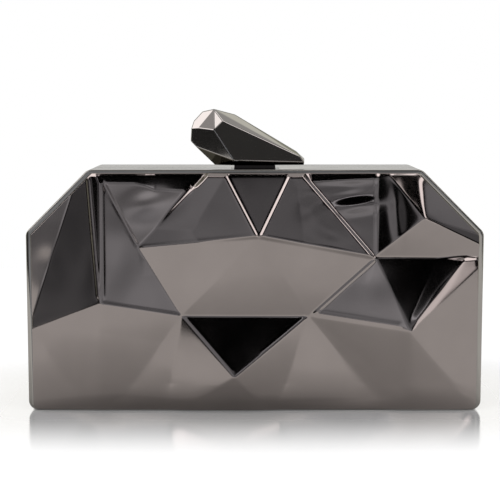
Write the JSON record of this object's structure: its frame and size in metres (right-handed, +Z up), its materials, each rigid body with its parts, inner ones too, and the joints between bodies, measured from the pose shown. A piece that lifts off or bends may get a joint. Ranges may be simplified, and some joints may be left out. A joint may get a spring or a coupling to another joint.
{
  "type": "minaudiere",
  "caption": "Hard case evening clutch in dark mirror metal with faceted relief panels, hinged at the base and latched by a stone shaped press knob on top.",
  "frame": {"origin": "middle of the base, under the parting line of the two halves", "axes": "+X to the right as the front is looked at, front towards -Y, +Z up"},
  "size_m": [0.19, 0.062, 0.1258],
  "materials": {
    "gunmetal_frame": "dark mirror plating on sheet metal",
    "gunmetal_panel": "dark mirror plating on a pressed panel, softly rounded creases",
    "gunmetal_knob": "dark mirror plating, polished flat facets",
    "nickel_hardware": "nickel plated steel, satin",
    "satin_lining": "black satin over card"
  },
  "bodies": {
    "back_half": {"back_frame": "gunmetal_frame", "back_panel": "gunmetal_panel", "back_panel_clips": "nickel_hardware", "closing_lip": "gunmetal_frame", "catch_spring": "nickel_hardware", "back_lining_board": "satin_lining", "back_lining_strip": "satin_lining", "slip_pocket": "satin_lining", "strap_loop_left": "gunmetal_frame", "strap_loop_right": "gunmetal_frame", "back_hinge_leaf_left": "nickel_hardware", "back_hinge_leaf_right": "nickel_hardware", "back_hinge_rivets": "nickel_hardware", "hinge_pin_left": "nickel_hardware", "hinge_pin_right": "nickel_hardware"},
    "front_half": {"front_frame": "gunmetal_frame", "front_panel": "gunmetal_panel", "front_panel_clips": "nickel_hardware", "clasp_guide": "gunmetal_frame", "clasp_bracket": "nickel_hardware", "return_spring": "nickel_hardware", "front_lining_board": "satin_lining", "front_lining_strip": "satin_lining", "front_hinge_leaf_left": "nickel_hardware", "front_hinge_leaf_right": "nickel_hardware", "front_hinge_rivets": "nickel_hardware"},
    "clasp": {"clasp_knob": "gunmetal_knob", "push_block": "gunmetal_frame", "hook_plate": "nickel_hardware", "knob_screws": "nickel_hardware"}
  },
  "joints": [
    {"name": "front_half_opening", "type": "hinge", "parent": "back_half", "child": "front_half", "pos_m": [0, 0, 0.0017], "axis": [1, 0, 0], "range_deg": [0, 90], "deforming": ["catch_spring"]},
    {"name": "knob_press", "type": "slide", "parent": "front_half", "child": "clasp", "axis": [0, 0, -1], "range_m": [0, 0.0013], "stiffness_N_per_m": 1500, "springref_m": -0.002, "deforming": ["return_spring"]}
  ]
}
